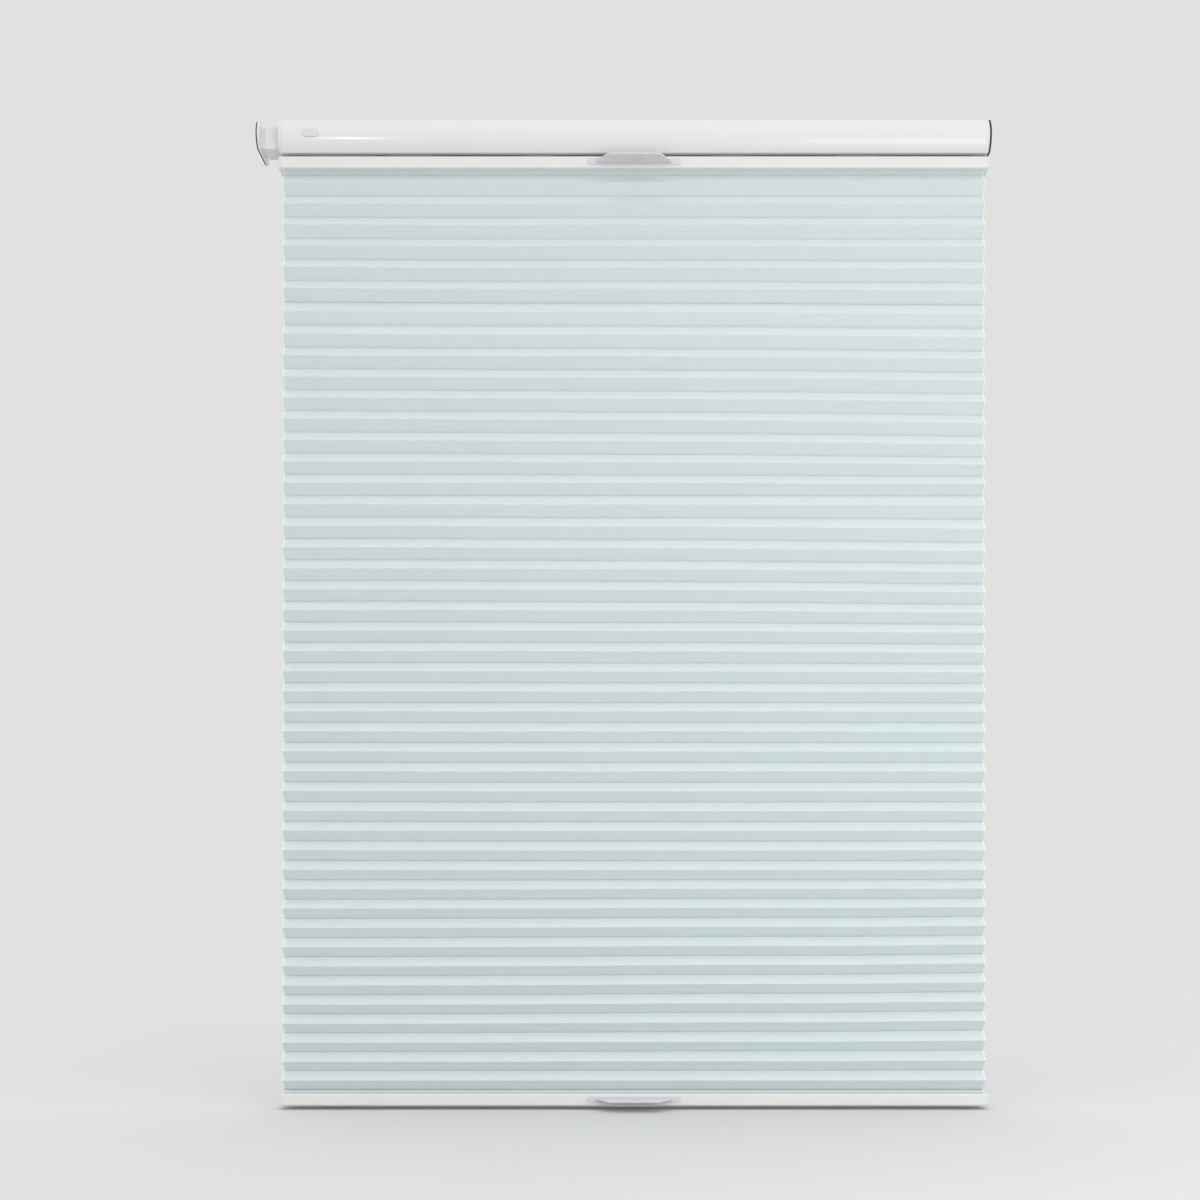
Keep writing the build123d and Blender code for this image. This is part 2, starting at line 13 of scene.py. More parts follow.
import bpy
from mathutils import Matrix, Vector


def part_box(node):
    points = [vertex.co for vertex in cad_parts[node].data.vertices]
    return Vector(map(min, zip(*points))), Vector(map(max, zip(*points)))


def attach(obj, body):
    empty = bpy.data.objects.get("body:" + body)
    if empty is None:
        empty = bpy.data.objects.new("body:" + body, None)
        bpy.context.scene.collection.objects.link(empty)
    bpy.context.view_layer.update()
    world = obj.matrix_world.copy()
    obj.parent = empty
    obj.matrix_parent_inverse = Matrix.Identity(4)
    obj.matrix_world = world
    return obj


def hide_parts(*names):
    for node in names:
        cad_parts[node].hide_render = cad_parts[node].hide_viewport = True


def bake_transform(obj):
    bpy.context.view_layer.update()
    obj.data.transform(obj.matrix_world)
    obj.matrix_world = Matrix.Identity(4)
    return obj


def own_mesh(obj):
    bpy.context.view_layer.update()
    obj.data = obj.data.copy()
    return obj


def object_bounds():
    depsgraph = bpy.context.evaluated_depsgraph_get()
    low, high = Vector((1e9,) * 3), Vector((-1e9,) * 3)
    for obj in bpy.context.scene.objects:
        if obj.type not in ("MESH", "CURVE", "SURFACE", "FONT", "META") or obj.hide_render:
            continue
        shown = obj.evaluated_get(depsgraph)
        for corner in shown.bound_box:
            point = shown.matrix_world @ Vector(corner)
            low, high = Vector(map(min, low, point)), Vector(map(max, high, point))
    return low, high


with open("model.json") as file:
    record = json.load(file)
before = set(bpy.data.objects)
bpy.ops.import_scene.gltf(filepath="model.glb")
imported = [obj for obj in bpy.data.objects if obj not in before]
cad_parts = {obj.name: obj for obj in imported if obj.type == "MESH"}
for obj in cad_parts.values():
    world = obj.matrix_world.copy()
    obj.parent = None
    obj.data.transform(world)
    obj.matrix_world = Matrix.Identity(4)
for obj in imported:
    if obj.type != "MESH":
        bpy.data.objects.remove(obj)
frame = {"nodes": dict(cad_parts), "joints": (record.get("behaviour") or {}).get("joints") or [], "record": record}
solid_low, solid_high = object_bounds()
print("model box", [round(v, 4) for v in (*solid_low, *solid_high)])

# %% [markdown]
# ## The camera
# The blind hangs in a window and was photographed by a level camera, since its sides
# stay parallel. The tops of the cells near the bottom rail are in view, and the
# underside of the upper rails too, so the lens stood low, three quarters of the way
# down the cloth. A level camera keeps uprights upright, and the lens is shifted up
# instead of tilted. The shifts are counted in pixels of the square picture.

# %% Camera
picture_side = 1200
shift_left = 14
shift_up = 270
eye = Vector((-0.0199, -1.615, -0.7505))
bpy.ops.object.camera_add(location=eye, rotation=(pi / 2, 0, 0))
camera = bpy.context.object
camera.name = "camera"
camera.data.sensor_width = 36
camera.data.lens = 48
camera.data.shift_x = -shift_left / picture_side
camera.data.shift_y = shift_up / picture_side
bpy.context.scene.camera = camera
print("camera", round((solid_low - eye).length, 3), "m from the lower left corner")

# %% [markdown]
# ## Helpers for modelling
# An operator works on whatever is selected, and loading leaves every solid selected.
# So each step starts with nothing selected, and then picks points or faces by where
# they are, the way a modeller would drag a box round them.


# %% Selecting
def only(*things):
    """Select these objects and nothing else."""
    if bpy.context.object and bpy.context.object.mode != "OBJECT":
        bpy.ops.object.mode_set(mode="OBJECT")
    bpy.ops.object.select_all(action="DESELECT")
    for thing in things:
        thing.select_set(True)
    bpy.context.view_layer.objects.active = things[0]


def pick(thing, kind, test):
    """In edit mode, select the points, edges or faces that pass a test of their place."""
    only(thing)
    bpy.ops.object.mode_set(mode="EDIT")
    bpy.ops.mesh.select_mode(type=kind)
    bpy.ops.mesh.select_all(action="DESELECT")
    bpy.ops.object.mode_set(mode="OBJECT")
    mesh = thing.data
    if kind == "VERT":
        for v in mesh.vertices:
            v.select = test(v.co)
    elif kind == "EDGE":
        for e in mesh.edges:
            a, b = (mesh.vertices[i].co for i in e.vertices)
            e.select = test((a + b) / 2, b - a)
    else:
        for f in mesh.polygons:
            f.select = test(f.center, f.normal)
    bpy.ops.object.mode_set(mode="EDIT")


def done():
    """Back to object mode."""
    bpy.ops.object.mode_set(mode="OBJECT")


# %% Finishing a mesh
def apply_modifier(thing, kind, **settings):
    """Add a modifier with these settings and apply it."""
    only(thing)
    modifier = thing.modifiers.new(kind.lower(), kind)
    for name, value in settings.items():
        setattr(modifier, name, value)
    bpy.ops.object.modifier_apply(modifier=modifier.name)


def clean(thing):
    """Merge doubled points and turn every face outwards."""
    only(thing)
    bpy.ops.object.mode_set(mode="EDIT")
    bpy.ops.mesh.select_all(action="SELECT")
    bpy.ops.mesh.remove_doubles(threshold=1e-6)
    bpy.ops.mesh.normals_make_consistent(inside=False)
    done()


def settle(thing, angle=30):
    """Put the object's place into its mesh, and smooth it up to an angle."""
    only(thing)
    bpy.ops.object.transform_apply(location=True, rotation=True, scale=True)
    bpy.ops.object.shade_smooth_by_angle(angle=radians(angle))


def copy_of(thing, name):
    """A copy with its own mesh."""
    twin = thing.copy()
    twin.data = thing.data.copy()
    twin.name = twin.data.name = name
    bpy.context.collection.objects.link(twin)
    return twin


# %% [markdown]
# ## The cloth: where it hangs
# The solid of the cloth says where the tabs end and how wide the cloth is. It hangs
# out of the middle rail's slot and ends in the bottom rail, which is the same rail
# turned over. The plane that the two rails mirror each other in is halfway between.
# Two cells meet in a notch. The first notch lies just below the middle rail, the last
# one just above the bottom rail, and one in between stays where it is when either
# rail moves.

# %% Places that the solids give
tab_thickness = 0.0032
top_notch_drop = 0.0027
bottom_notch_rise = 0.0032

cloth_low, cloth_high = (Vector(corner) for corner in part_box("cellular_fabric"))
cloth_half = cloth_high.x
rail_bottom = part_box("middle_rail")[0][2]
mirror_z = (cloth_low.z + cloth_high.z) / 2
tab_high = cloth_high.z
tab_low = tab_high - tab_thickness
notch_top = rail_bottom - top_notch_drop
notch_bottom = 2 * mirror_z - rail_bottom + bottom_notch_rise
notch_split = -0.37335
cord_x = 0.225
centre = (0, 0, 0)
cells_drop = notch_top - notch_bottom
print("cloth", round(2 * cloth_half, 4), "m wide,", round(cells_drop, 4), "m of cells")

# %% [markdown]
# ## The cloth: one cell
# A honeycomb blind is cloth that is creased and glued into tubes, one below the
# other. In section a cell is a flat hexagon: a glued strip on top, a glued strip
# below, and on each side two facets that meet in a sharp ridge. One cell starts as a
# six sided cylinder along the rails with no ends. Its edges are pulled to the cell's
# corners. Each facet is then divided once and its middle pushed out by a hair,
# because real facets are a little full.

# %% Pull a six sided tube to the section of a cell
glue = 0.003
facet = 0.0134
cell_pitch = 0.021
ridge_reach = glue + sqrt(facet**2 - (cell_pitch / 2) ** 2)
ridge_rise = 0.02
fullness = 1.03
tube_radius = 0.01
near_ridge = 0.9 * tube_radius

only(camera)
bpy.ops.mesh.primitive_cylinder_add(
    vertices=6,
    radius=tube_radius,
    depth=2 * cloth_half,
    end_fill_type="NOTHING",
    rotation=(0, pi / 2, 0),
)
cell = bpy.context.object
settle(cell)
pick(cell, "VERT", lambda p: abs(p.y) < near_ridge)
tube_strip, tube_height = tube_radius / 2, tube_radius * sqrt(0.75)
flat_size = (1, glue / tube_strip, cell_pitch / 2 / tube_height)
bpy.ops.transform.resize(value=flat_size, center_override=centre)
pick(cell, "VERT", lambda p: abs(p.y) > near_ridge)
bpy.ops.transform.resize(value=(1, ridge_reach / tube_radius, 1), center_override=centre)
bpy.ops.transform.translate(value=(0, 0, ridge_rise * cell_pitch))
done()
print("cell", [round(1000 * v, 2) for v in cell.dimensions], "mm")

# %% Divide the facets and push their middles out
millimetre = 0.001
tolerance = 0.0001


def lengthwise(middle, run):
    """An edge that runs along the rails."""
    return abs(run.x) > 0.1


def creased(middle, run):
    """A lengthwise edge of a ridge or of a glued strip."""
    on_ridge = abs(middle.y) > ridge_reach - tolerance
    on_strip = abs(middle.z) > cell_pitch / 2 - tolerance
    return lengthwise(middle, run) and (on_ridge or on_strip)


pick(cell, "EDGE", lambda middle, run: abs(run.x) < 1e-5 and abs(run.z) > millimetre)
bpy.ops.mesh.subdivide(number_cuts=1)
pick(cell, "VERT", lambda p: glue + millimetre < abs(p.y) < ridge_reach - millimetre)
bpy.ops.transform.resize(value=(1, fullness, fullness), center_override=centre)
pick(cell, "EDGE", lengthwise)
bpy.ops.mesh.subdivide(number_cuts=5)
pick(cell, "EDGE", creased)
bpy.ops.transform.edge_crease(value=1)
done()
apply_modifier(cell, "SUBSURF", levels=2, render_levels=2)
clean(cell)
print("cell has", len(cell.data.polygons), "faces before its wall")

# %% [markdown]
# The wall of the cloth grows inwards, so that the outside keeps its size. Each lift
# cord passes down through the glued strips, and a round hole is cut for it there.

# %% Give the cloth a wall, and cut the cord holes
cord_hole = 0.0016
punch_length = 0.04
cloth_wall = {"thickness": 0.0004, "offset": -1, "use_even_offset": True}

apply_modifier(cell, "SOLIDIFY", **cloth_wall)
for x in (-cord_x, cord_x):
    only(camera)
    bpy.ops.mesh.primitive_cylinder_add(
        vertices=20, radius=cord_hole, depth=punch_length, location=(x, 0, 0)
    )
    punch = bpy.context.object
    apply_modifier(cell, "BOOLEAN", operation="DIFFERENCE", object=punch, solver="EXACT")
    bpy.data.objects.remove(punch)
print("cell has", len(cell.data.polygons), "faces with its wall and holes")

# %% [markdown]
# ## The cloth: a stack of cells
# The upper cells carry the weight of all the cells below, so they hang open a little
# more than the lower ones. Two cells high up have opened more than the rest, and no
# two are quite alike. The stack is two pieces, because the middle rail gathers the
# upper fifteen cells when it comes down, and the bottom rail gathers the other thirty
# when it goes up. The notch between them never moves.

# %% The height of each notch
upper_cells = 15
lower_cells = 30
least, most = 0.99, 1.01
opened = {6: 1.12, 7: 1.05}
closing = 0.14

random.seed(7)
upper_share = [random.uniform(least, most) * opened.get(n, 1) for n in range(upper_cells)]
lower_share = [
    (1 - closing * sqrt(n / (lower_cells - 1))) * random.uniform(least, most)
    for n in range(lower_cells)
]


def notches(shares, high, low):
    """The heights that divide a drop into these shares."""
    places = [high]
    for share in shares:
        places.append(places[-1] + (low - high) * share / sum(shares))
    return places


upper = notches(upper_share, notch_top, notch_split)
lower = notches(lower_share, notch_split, notch_bottom)
print("upper pitch", round(1000 * (upper[0] - upper[1]), 2), "mm")
print("lowest pitch", round(1000 * (lower[-2] - lower[-1]), 2), "mm")

# %% [markdown]
# A taller cell is also a narrower one, because the length of its facets stays the
# same. So each copy is stretched in height and drawn in, then the copies are joined.
# Each is a hair lower than its place, so that no two glued strips lie in one plane.

# %% Copy the cell down each stack
cloth_angle = 25
hair = 0.001


def stack(name, places):
    """Copies of the cell between these heights, joined into one piece."""
    cells = []
    for high, low in zip(places, places[1:]):
        reach = glue + sqrt(facet**2 - ((high - low) / 2) ** 2)
        twin = copy_of(cell, f"{name}_cell")
        twin.scale = (1, reach / ridge_reach, (1 - hair) * (high - low) / cell_pitch)
        twin.location = (0, 0, (high + low) / 2)
        cells.append(twin)
    only(*cells)
    bpy.ops.object.join()
    cells[0].name = cells[0].data.name = name
    settle(cells[0], cloth_angle)
    return cells[0]


cells_upper = stack("cells_upper", upper)
cells_lower = stack("cells_lower", lower)
bpy.data.objects.remove(cell)
print(len(cells_upper.data.polygons), "and", len(cells_lower.data.polygons), "faces")

# %% [markdown]
# The glued lines of a hanging blind are never ruler straight. Here the right end has
# sunk in the upper half, by a few millimetres, and risen a little near the bottom.
# On top of that every line wavers by half a millimetre. Displace modifiers do both,
# each held by a vertex group. The groups fade out towards the rails, where the cloth
# is kept straight, and towards the notch that never moves, so that the two stacks
# still meet there in every pose. The table gives, for each uneven stretch, the height
# of its middle, how far it reaches up and down, and how far it rises.

# %% Let the glued lines sink, rise and waver
rail_fade = 0.07
split_fade = 0.045
uneven = {"sunk": (-0.34, 0.24, -0.0045), "risen": (-0.89, 0.13, 0.003)}
waver = 0.0014


def free(p):
    """0 at the rails and at the notch that never moves, and 1 away from them."""
    from_rail = min(notch_top - p.z, p.z - notch_bottom) / rail_fade
    from_split = abs(p.z - notch_split) / split_fade
    return max(0.0, min(1.0, from_rail, from_split))


def right_end(p, middle, reach):
    """Grows towards the right end, within this reach of a height."""
    side = ((p.x / cloth_half + 1) / 2) ** 2
    return free(p) * side * max(0.0, 1 - ((p.z - middle) / reach) ** 2)


def shift(thing, name, share, strength, texture=None):
    """Move points along Z by a strength times a share worked out from their place."""
    group = thing.vertex_groups.new(name=name)
    for v in thing.data.vertices:
        group.add([v.index], share(v.co), "REPLACE")
    settings = {"vertex_group": name, "direction": "Z", "strength": strength}
    if texture:
        settings |= {"texture": texture, "texture_coords": "LOCAL", "mid_level": 0.5}
    else:
        settings["mid_level"] = 0
    apply_modifier(thing, "DISPLACE", **settings)
    thing.vertex_groups.clear()


clouds = bpy.data.textures.new("waver", "CLOUDS")
clouds.noise_scale = 0.25
clouds.noise_depth = 1
for thing in (cells_upper, cells_lower):
    for name, (middle, reach, rise) in uneven.items():
        shift(thing, name, lambda p: right_end(p, middle, reach), rise)
    shift(thing, "free", free, waver, clouds)

# %% [markdown]
# ## The cloth: a tab in each rail
# The first and the last cell are folded flat round a plastic strip inside a slim
# rail. From there the cloth comes out through the rail's slot, spreads under its lips
# and closes in to the first glued line. A block is the folded part, its lower face is
# extruded out through the slot, the ends are deleted, and the tube that is left gets
# the same wall.

# %% A tab
tab_half = 0.0094
neck_half = 0.0054
spread_half = 0.0091
lip_gap = 0.00015
steps = (
    (neck_half / tab_half, 0),
    (1, tab_low - rail_bottom + lip_gap),
    (spread_half / neck_half, 0),
    (glue / spread_half, rail_bottom - lip_gap - notch_top),
)

only(camera)
bpy.ops.mesh.primitive_cube_add(size=1, location=(0, 0, (tab_high + tab_low) / 2))
tab_upper = bpy.context.object
tab_upper.name = tab_upper.data.name = "cloth_tab_upper"
tab_upper.scale = (2 * cloth_half, 2 * tab_half, tab_high - tab_low)
settle(tab_upper)
pick(tab_upper, "FACE", lambda middle, normal: normal.z < -0.9)
for width, drop in steps:
    bpy.ops.mesh.extrude_region_move(TRANSFORM_OT_translate={"value": (0, 0, -drop)})
    bpy.ops.transform.resize(value=(1, width, 1), center_override=centre)
pick(tab_upper, "FACE", lambda middle, normal: abs(normal.x) > 0.9)
bpy.ops.mesh.delete(type="FACE")
done()
clean(tab_upper)
apply_modifier(tab_upper, "SOLIDIFY", **cloth_wall)
settle(tab_upper, cloth_angle)
tab_lower = copy_of(tab_upper, "cloth_tab_lower")
tab_lower.rotation_euler = (pi, 0, 0)
tab_lower.location = (0, 0, 2 * mirror_z)
settle(tab_lower, cloth_angle)
print("tabs", len(tab_upper.data.polygons), "faces each")

# %% [markdown]
# ## Lift cords
# Two cords hang from the spools of each rod. They are braided round, about 1.2 mm
# thick, and always taut, because a motor spring pulls on them. A tube with every
# other point of its section drawn in gives the lobes of a braid. It has points only
# at its two ends, in pairs, so that it stays straight when its lower end moves with
# a rail.

# %% Cords
cord_radius = 0.0006
cord_lobes = 8
valley_share = 0.84
wire_angle = 50


def make_lift_cord(node):
    """A lobed tube in the place of a solid cord, from its spool to a rail."""
    low, high = (Vector(corner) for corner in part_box(node))
    middle = (low + high) / 2
    only(camera)
    bpy.ops.mesh.primitive_cylinder_add(
        vertices=2 * cord_lobes, radius=cord_radius, depth=high.z - low.z
    )
    cord = bpy.context.object
    cord.name = cord.data.name = f"braided_{node}"
    valleys = [v.co.copy() for i, v in enumerate(cord.data.vertices) if i // 2 % 2]
    pick(cord, "VERT", lambda p: any((valley - p).length < 1e-7 for valley in valleys))
    bpy.ops.transform.resize(value=(valley_share, valley_share, 1), center_override=centre)
    done()
    cord.location = middle
    settle(cord, wire_angle)
    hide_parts(node)
    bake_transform(cord)
    return cord


cords = [
    make_lift_cord(f"lift_cord_{name}_{side}")
    for name in ("middle", "bottom")
    for side in ("left", "right")
]
print(len(cords), "cords, the longest", round(max(c.dimensions.z for c in cords), 3), "m")

# %% [markdown]
# ## Coil springs
# A small circle, the section of the wire, is carried round and along by a Screw
# modifier. The two ends of the wire are filled.


# %% Springs
def make_coil(name, node, wire, radius, turns, along):
    """A coil spring in the place of a solid one, along X or Y."""
    low, high = (Vector(corner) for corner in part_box(node))
    axis = "XY".index(along)
    only(camera)
    bpy.ops.mesh.primitive_circle_add(
        vertices=10, radius=wire, location=(radius, 0, wire), rotation=(pi / 2, 0, 0)
    )
    coil = bpy.context.object
    coil.name = coil.data.name = name
    settle(coil)
    apply_modifier(
        coil,
        "SCREW",
        axis="Z",
        angle=2 * pi,
        screw_offset=(high[axis] - low[axis] - 2 * wire) / turns,
        iterations=turns,
        steps=28,
        render_steps=28,
        use_merge_vertices=False,
    )
    pick(coil, "VERT", lambda p: True)
    bpy.ops.mesh.fill_holes(sides=12)
    done()
    clean(coil)
    coil.location = (low + high) / 2
    coil.location[axis] = low[axis]
    coil.rotation_euler = (0, pi / 2, 0) if along == "X" else (-pi / 2, 0, 0)
    settle(coil, wire_angle)
    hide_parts(node)
    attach(coil, "root")
    print(name, [round(1000 * v, 1) for v in coil.dimensions], "mm")
    return coil


tension_coil = make_coil(
    "tension_coil", "tension_spring", wire=0.00045, radius=0.0034, turns=9, along="X"
)
button_coil = make_coil(
    "button_coil", "button_spring", wire=0.00035, radius=0.0024, turns=4, along="Y"
)

# %% [markdown]
# ## Helpers for finishes
# A finish is a Principled shader whose colour, roughness and bump come from small
# patterns. `Number` stands for a value that varies over the surface, so that patterns
# can be added and multiplied as in ordinary sums. Each sum adds one Math node.


# %% Numbers that vary over a surface
class Number:
    """The output of a node, for use in sums."""

    def __init__(self, maker, socket):
        self.maker = maker
        self.socket = socket

    def sum(self, operation, other):
        settings = {"operation": operation}
        return self.maker.node("ShaderNodeMath", settings, {0: self, 1: other})

    def __add__(self, other):
        return self.sum("ADD", other)

    def __mul__(self, other):
        return self.sum("MULTIPLY", other)

    def __gt__(self, other):
        return self.sum("GREATER_THAN", other)

    __radd__ = __add__


# %% A node tree
class Nodes:
    """The node tree of a material or a world, and one method that adds any node to it."""

    def __init__(self, owner):
        owner.use_nodes = True
        self.tree = owner.node_tree

    def node(self, kind, settings=None, inputs=None, output=0):
        """Add a node: its settings first, then the values or links of its sockets."""
        made = self.tree.nodes.new(kind)
        for name, value in (settings or {}).items():
            setattr(made, name, value)
        for name, value in (inputs or {}).items():
            self.join(value, made.inputs[name])
        return Number(self, made.outputs[output])

    def join(self, value, socket):
        """Link a varying value to a socket, or set a constant on it."""
        if isinstance(value, Number):
            self.tree.links.new(value.socket, socket)
        else:
            socket.default_value = value

    def mixed_for_eye(self, lit, shown, target):
        """One shader lights the blind, another is seen by the eye and in reflections."""
        rays = ("Is Camera Ray", "Is Glossy Ray", "Is Transmission Ray")
        eye, mirror, glass = (self.node("ShaderNodeLightPath", output=ray) for ray in rays)
        inputs = {0: eye + mirror + glass, 1: lit, 2: shown}
        mixed = self.node("ShaderNodeMixShader", None, inputs)
        self.join(mixed, self.tree.nodes[target].inputs["Surface"])


# %% A finish
class Finish(Nodes):
    """A material made of patterns."""

    def __init__(self, name, constants):
        self.material = bpy.data.materials.new(name)
        super().__init__(self.material)
        self.shader = self.tree.nodes["Principled BSDF"]
        for socket, value in constants.items():
            self.shader.inputs[socket].default_value = value
        self.place = self.node("ShaderNodeTexCoord", output="Object")

    def noise(self, scale, detail=2.0, stretch=(1, 1, 1)):
        """A cloudy pattern from 0 to 1, with its grain finer along a larger stretch."""
        place = self.node("ShaderNodeMapping", None, {"Vector": self.place, "Scale": stretch})
        inputs = {"Vector": place, "Scale": scale, "Detail": detail}
        return self.node("ShaderNodeTexNoise", None, inputs)

    def bands(self, scale, direction, turn=0.0):
        """Straight bands from 0 to 1, turned about Y by an angle."""
        inputs = {"Vector": self.place, "Rotation": (0, radians(turn), 0)}
        place = self.node("ShaderNodeMapping", None, inputs)
        settings = {"bands_direction": direction}
        return self.node("ShaderNodeTexWave", settings, {"Vector": place, "Scale": scale})

    def away(self, axis):
        """The distance from the plane where this axis is 0."""
        part = self.node("ShaderNodeSeparateXYZ", None, {0: self.place}, axis)
        return self.node("ShaderNodeMath", {"operation": "ABSOLUTE"}, {0: part})

    def ramp(self, value, start, end):
        """0 at the start value, 1 at the end value, and even in between."""
        inputs = {"Value": value, "From Min": start, "From Max": end}
        return self.node("ShaderNodeMapRange", None, inputs)

    def blend(self, share, a, b):
        """One colour turning to another."""
        inputs = {"Factor": share, 6: a, 7: b}
        return self.node("ShaderNodeMix", {"data_type": "RGBA"}, inputs, output=2)

    def colour(self, value):
        self.join(value, self.shader.inputs["Base Color"])

    def roughness(self, value):
        self.join(value, self.shader.inputs["Roughness"])

    def bump(self, height, distance):
        """Relief of this depth, in metres."""
        relief = self.node("ShaderNodeBump", None, {"Height": height, "Distance": distance})
        self.join(relief, self.shader.inputs["Normal"])


def screen(red, green, blue):
    """A colour as a screen shows it, from 0 to 255, turned to linear light."""
    parts = (red / 255, green / 255, blue / 255)
    return (*(c / 12.92 if c < 0.04045 else ((c + 0.055) / 1.055) ** 2.4 for c in parts), 1)


# %% [markdown]
# ## Cloth
# The cloth is a soft pale blue fleece of bonded fibres. Its fibres run mostly along
# the cells, so the pattern is drawn out along X, with a fine crosswise grid on top.
# It is painted darker near the glued strips, close to the middle plane: a painted shade for the creases of the
# notches, stronger lower down, where the cells are flatter, and faded out next to the rails. The cut edges at both
# ends are painted nearly white, with a ragged rim: a painted glow of the light that comes through the open ends of
# the cells.

# %% Cloth
tab_fade = 0.004
shade_rim, shade_core = 0.0013, 0.0004
glow_start, glow_depth = 0.0006, 0.0012

cloth = Finish("cell_cloth", {"Roughness": 0.9, "Sheen Weight": 0.2, "Sheen Roughness": 0.6})
fibres = cloth.noise(900, 3, (0.12, 1, 1))
clumps = cloth.noise(130, 2, (0.3, 1, 1))
grid = cloth.bands(520, "X") * 0.25 + cloth.bands(640, "Z") * 0.25
tone = cloth.blend(fibres * 0.6 + clumps * 0.4, screen(208, 219, 220), screen(222, 232, 233))
depth = cloth.away("Z")
below_top = cloth.ramp(depth, -notch_top, tab_fade - notch_top)
above_bottom = cloth.ramp(depth, -notch_bottom, -notch_bottom - tab_fade)
# Painted shade: the notch creases by the glued strips are painted darker, more so lower down, and not next to the
# rails.
near_glue = cloth.ramp(cloth.away("Y"), glue + shade_rim, glue + shade_core)
lower_down = cloth.ramp(depth, 0.3, 0.8) * 0.32 + 0.28
notch_shade = near_glue * (below_top * above_bottom) * lower_down
notch_shaded = cloth.blend(notch_shade, tone, screen(184, 198, 198))
# Painted light: the cut ends are painted nearly white, with a ragged rim, for light that shines through the open
# ends of the cells.
edge_glow = cloth.away("X") + cloth.noise(1400) * glow_depth > cloth_half - glow_start
cloth.colour(cloth.blend(edge_glow, notch_shaded, screen(236, 239, 243)))
cloth.roughness(0.82 + fibres * 0.14)
cloth.bump(fibres * 0.7 + grid, 0.00012)

# %% [markdown]
# ## Rails and mouldings
# The aluminium rails carry a smooth white powder coat, which has a faint orange peel
# and a clear gloss. The end caps, the block and the plate are moulded in a plastic
# of nearly the same white with a finer, duller skin. The parts inside are plain
# matt mouldings.

# %% White coat on the rails
coat = Finish("rail_coat", {"Coat Weight": 0.6, "Coat Roughness": 0.08})
drift = coat.noise(9, 2)
coat.colour(coat.blend(drift, screen(228, 229, 228), screen(232, 232, 231)))
coat.roughness(0.28 + coat.noise(60) * 0.06)
coat.bump(coat.noise(420, 1), 0.000006)


# %% Mouldings
def moulded(name, dull, light, gloss, grain, depth):
    """A plastic skin: two close tones, a level of gloss, and a spark eroded grain."""
    skin = Finish(name, {})
    speckle = skin.noise(grain, 3)
    drift = skin.noise(25) * 0.7 + speckle * 0.3
    skin.colour(skin.blend(drift, screen(*dull), screen(*light)))
    skin.roughness(gloss - 0.05 + speckle * 0.1)
    skin.bump(speckle, depth)
    return skin


cap_skin = moulded("cap_skin", (222, 222, 224), (229, 229, 231), 0.34, 1500, 0.00001)
inner_skin = moulded("inner_skin", (214, 214, 212), (226, 226, 224), 0.55, 900, 0.00005)
strip_skin = moulded("strip_skin", (222, 226, 226), (231, 234, 234), 0.45, 700, 0.00003)
button_skin = moulded("button_skin", (216, 219, 222), (222, 225, 229), 0.3, 1800, 0.00001)
handle_skin = moulded("handle_skin", (215, 212, 215), (220, 217, 220), 0.2, 300, 0.000005)
handle_skin.shader.inputs["Coat Weight"].default_value = 0.5
rubber = moulded("grip_rubber", (44, 44, 46), (58, 58, 60), 0.8, 1200, 0.00005)

# %% [markdown]
# ## Metal and cord
# The lift rods are drawn, so their scratches run along X. The motor bands and the
# coils are blued spring steel with a faint straw tint. The cords are braided from
# white yarn, and two crossing sets of bands make the plait.


# %% Metal
def metal(name, dark, light, grain, stretch, polish):
    """Bare metal with scratches drawn out along the rails."""
    finish = Finish(name, {"Metallic": 1.0})
    scratches = finish.noise(grain, 3, stretch)
    tint = finish.noise(120) * 0.5 + scratches * 0.5
    finish.colour(finish.blend(tint, screen(*dark), screen(*light)))
    finish.roughness(polish + scratches * 0.18)
    finish.bump(scratches, 0.00001)
    return finish


rod_steel = metal("rod_steel", (174, 176, 180), (210, 211, 214), 350, (0.02, 1, 1), 0.22)
spring_steel = metal("spring_steel", (146, 148, 158), (192, 187, 177), 900, (0.1, 1, 1), 0.2)

# %% Cord
yarn = Finish("cord_yarn", {"Sheen Weight": 0.2})
plait = yarn.bands(420, "Z", 38) * yarn.bands(420, "Z", -38)
yarn.colour(yarn.blend(plait, screen(206, 206, 203), screen(240, 240, 238)))
yarn.roughness(0.65 + plait * 0.2)
yarn.bump(plait, 0.00015)

# %% [markdown]
# ## Put the finishes on
# Each solid names its material slot in the record, so one table dresses them all.

# %% Dress every piece
finish_of_slot = {
    "white_rail": coat,
    "white_moulding": cap_skin,
    "mechanism_plastic": inner_skin,
    "grip_rubber": rubber,
    "spring_steel": spring_steel,
    "rod_steel": rod_steel,
    "button_plastic": button_skin,
    "handle_plastic": handle_skin,
    "cell_fabric": cloth,
    "strip_plastic": strip_skin,
    "cord": yarn,
}
for part in frame["record"]["subparts"]:
    solid = frame["nodes"][part["node"]]
    for place in solid.material_slots:
        place.material = finish_of_slot[part["material_slot"]].material


def dress(thing, slot):
    """Give a new piece the finish of a slot."""
    thing.data.materials.clear()
    thing.data.materials.append(finish_of_slot[slot].material)


for cord in cords:
    dress(cord, "cord")
for coil in (tension_coil, button_coil):
    dress(coil, "spring_steel")
for thing in (cells_upper, cells_lower, tab_upper, tab_lower):
    dress(thing, "cell_fabric")
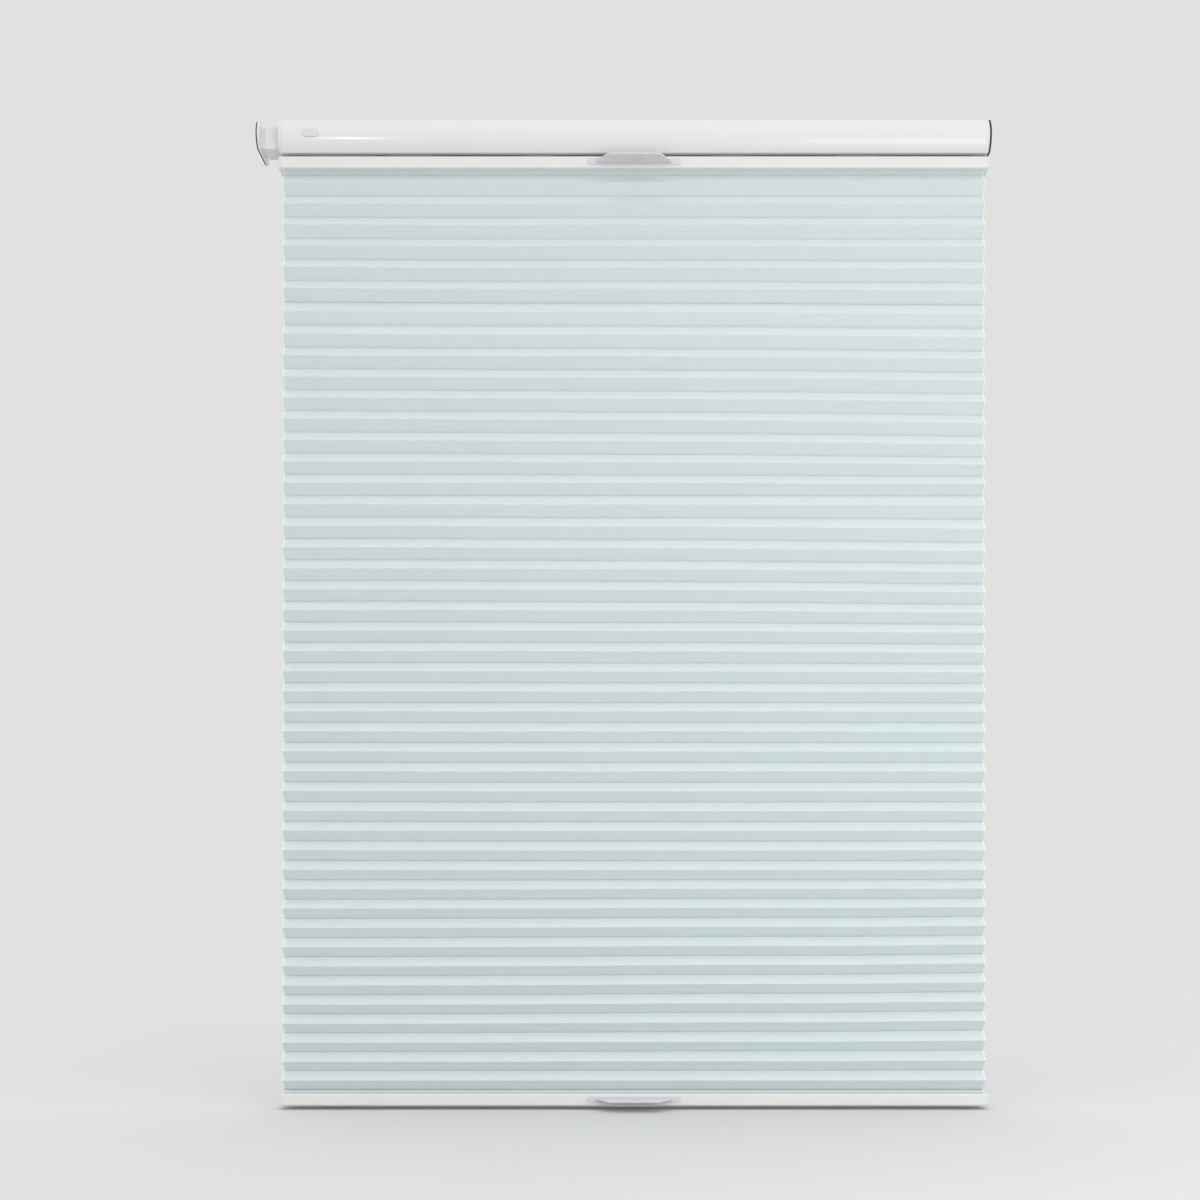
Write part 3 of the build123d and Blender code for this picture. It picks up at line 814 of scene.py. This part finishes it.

# %% [markdown]
# ## Where the soft pieces hang
# On the blind, the cells close up towards the notch that never moves, and each tab rides
# in its rail. Here each stack hangs from the root body and each tab from its rail's body.
# How far a stack would close follows from the rail's travel, and is printed. The cloth of
# each cell is a strip as wide as the cell's section is round. For the coils, the share
# they would keep is worked out from their joints' travel.

# %% Attach the cloth to its bodies, and work out how far the stacks and coils would close
travel = {
    joint["name"]: max(abs(limit) for limit in joint["range_m"])
    for joint in frame["joints"]
    if "range_m" in joint
}
strip_width = 4 * facet + 4 * glue
stacks = (
    (cells_upper, "middle_rail_slide", notch_top, upper_cells, "cloth_tab_upper"),
    (cells_lower, "bottom_rail_slide", notch_bottom, lower_cells, "cells_upper"),
)
for thing, joint, far_notch, count, above in stacks:
    keep = 1 - travel[joint] / abs(far_notch - notch_split)
    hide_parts("cellular_fabric")
    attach(thing, "root")
    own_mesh(thing)
    count * strip_width
    print(thing.name, "closes to", round(100 * keep, 1), "% of its height")

folded = tab_half + (tab_high - tab_low) + (tab_half - neck_half)
neck = (tab_low - rail_bottom + lip_gap) + (spread_half - neck_half)
slant = sqrt((rail_bottom - lip_gap - notch_top) ** 2 + (spread_half - glue) ** 2)
tab_strip = 2 * (folded + neck + slant + glue)
for thing, body in ((tab_upper, "middle_rail"), (tab_lower, "bottom_rail")):
    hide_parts("cellular_fabric")
    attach(thing, body)

low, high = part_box("tension_spring")
keep = 1 - travel["tension_slide"] / (high[0] - low[0])
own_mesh(tension_coil)
low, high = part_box("button_spring")
keep = 1 - travel["release_press"] / (high[1] - low[1])
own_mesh(button_coil)

# %% [markdown]
# ## Floor, light and background
# The bottom rail hangs just clear of a pale sill, here the floor, and leaves a thin
# shadow on it. Nearly all the light is a white sky, a little brighter high up, so
# that the facets that face up are lighter than those that face down. The floor throws
# back less light than it seems to, which keeps the undersides of the handles grey.
# The streaks on the bowed rail come from two lamps, at the heights that the rail's
# curve mirrors to the lens. The right one also makes that side of the cloth lighter.

# %% Floor
floor_side = 14
floor_gap = 0.0044

only(camera)
bpy.ops.mesh.primitive_plane_add(size=floor_side, location=(0, 0, solid_low.z - floor_gap))
floor = bpy.context.object
floor.name = "floor"
paint = Finish("floor_paint", {"Roughness": 0.9})
paint.colour(paint.blend(paint.noise(3), screen(205, 205, 204), screen(208, 208, 207)))
lit = Number(paint, paint.shader.outputs[0])
shown_tone = paint.blend(paint.noise(3), screen(220, 220, 219), screen(222, 222, 221))
shown = paint.node("ShaderNodeBsdfDiffuse", None, {"Color": shown_tone})
paint.mixed_for_eye(lit, shown, "Material Output")
floor.data.materials.append(paint.material)


# %% Lamps
def lamp(name, place, aim, size, power):
    """A soft rectangular lamp that faces a point."""
    bpy.ops.object.light_add(type="AREA", location=place)
    light = bpy.context.object
    light.name = name
    light.rotation_euler = (Vector(aim) - Vector(place)).to_track_quat("-Z", "Y").to_euler()
    light.data.shape = "RECTANGLE"
    light.data.size, light.data.size_y = size
    light.data.energy = power


only(camera)
lamp("left_window", (-0.735, -3.0, -0.31), aim=(-0.3, 0, -0.1), size=(0.13, 0.4), power=1.9)
lamp("right_window", (0.8, -1.25, -0.5), aim=(0.25, 0, -0.25), size=(1.0, 0.62), power=4.3)

# %% World: a sky for light, and a plain tone for the eye and for reflections
sky_level = 0.985
sky_rise = 0.1

world = bpy.data.worlds.new("studio")
bpy.context.scene.world = world
studio = Nodes(world)
direction = studio.node("ShaderNodeTexCoord", output="Generated")
height = studio.node("ShaderNodeSeparateXYZ", None, {0: direction}, "Z")
height = studio.node("ShaderNodeMath", {"operation": "MAXIMUM"}, {0: height, 1: 0.0})
white = {"Color": (1, 1, 1, 1), "Strength": height * sky_rise + sky_level}
sky = studio.node("ShaderNodeBackground", None, white)
backdrop = studio.node("ShaderNodeBackground", None, {"Color": screen(225, 225, 224)})
studio.mixed_for_eye(sky, backdrop, "World Output")
bpy.context.scene.view_settings.view_transform = "Standard"
